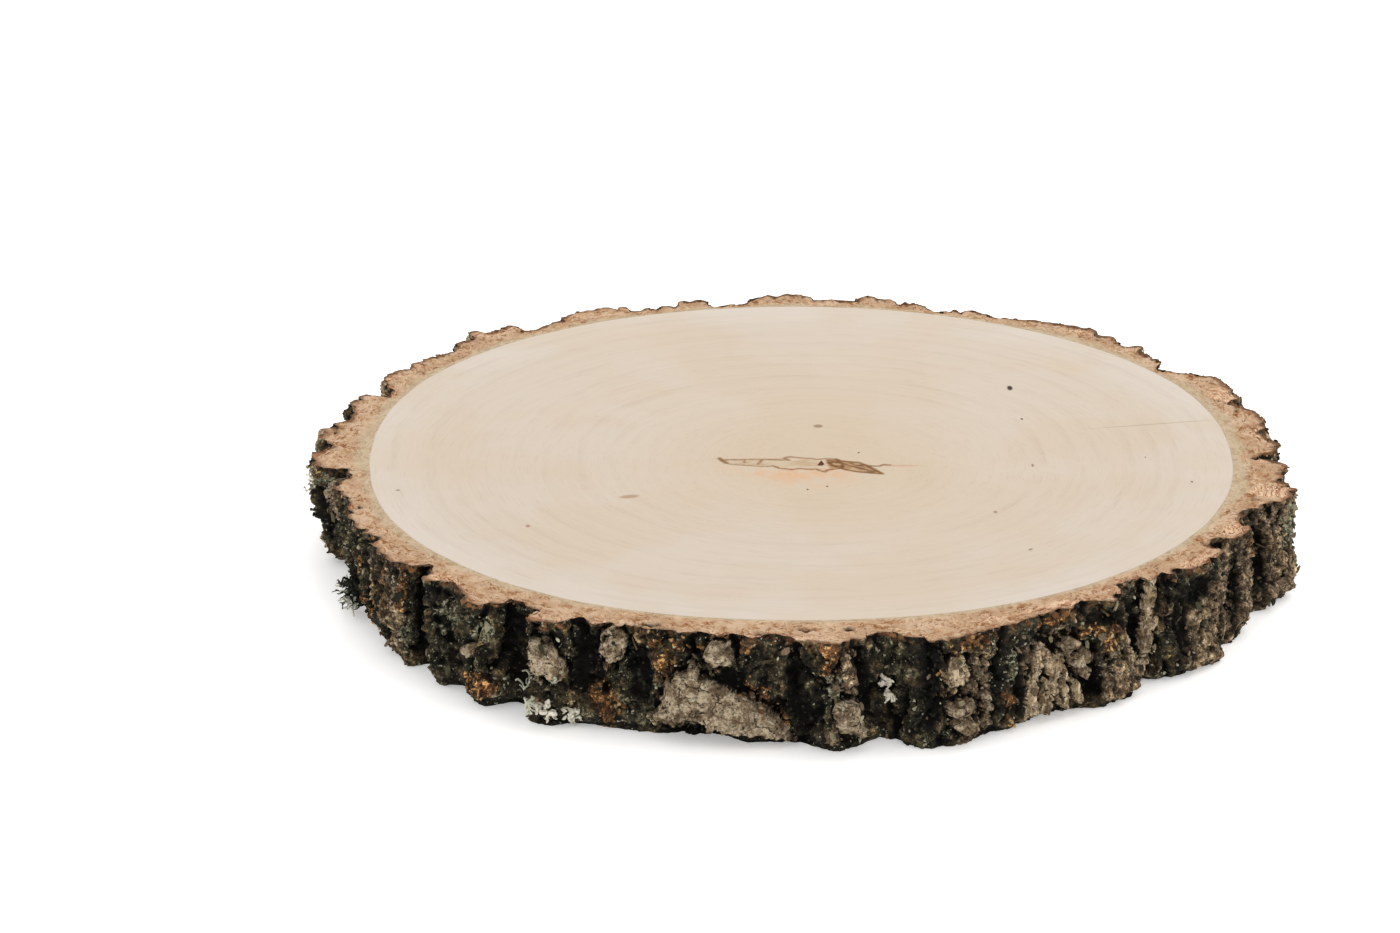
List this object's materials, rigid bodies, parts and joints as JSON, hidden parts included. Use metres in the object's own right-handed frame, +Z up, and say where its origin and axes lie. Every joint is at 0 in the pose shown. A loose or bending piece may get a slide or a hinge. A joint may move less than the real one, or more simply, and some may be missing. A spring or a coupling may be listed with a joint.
{
  "type": "wood slice",
  "caption": "Round slice sawn across a birch log with its rough bark left on, lying flat on one sawn face, with moss and lichen growing on the bark.",
  "frame": {"origin": "middle of the footprint of the slice, on the surface that it lies on", "axes": "+Z up out of the upper sawn face, -Y towards the side with the large pale bark plate, +X to the right seen from that side"},
  "size_m": [0.283, 0.284, 0.031],
  "materials": {
    "sawn_wood": "bare sawn birch end grain, matt, pale cream with faint growth rings",
    "bark": "rough weathered birch bark, blackish plates with grey, olive and rust patches, matt",
    "lichen": "dry grey-white lichen, matt",
    "moss": "dry blackish green moss, matt"
  },
  "bodies": {
    "root": {"wood_slice": "sawn_wood", "lichen_tuft_left": "lichen", "lichen_rosette_left": "lichen", "lichen_rosette_front": "lichen", "lichen_tuft_far": "lichen", "moss_tuft_left": "moss"}
  },
  "joints": []
}
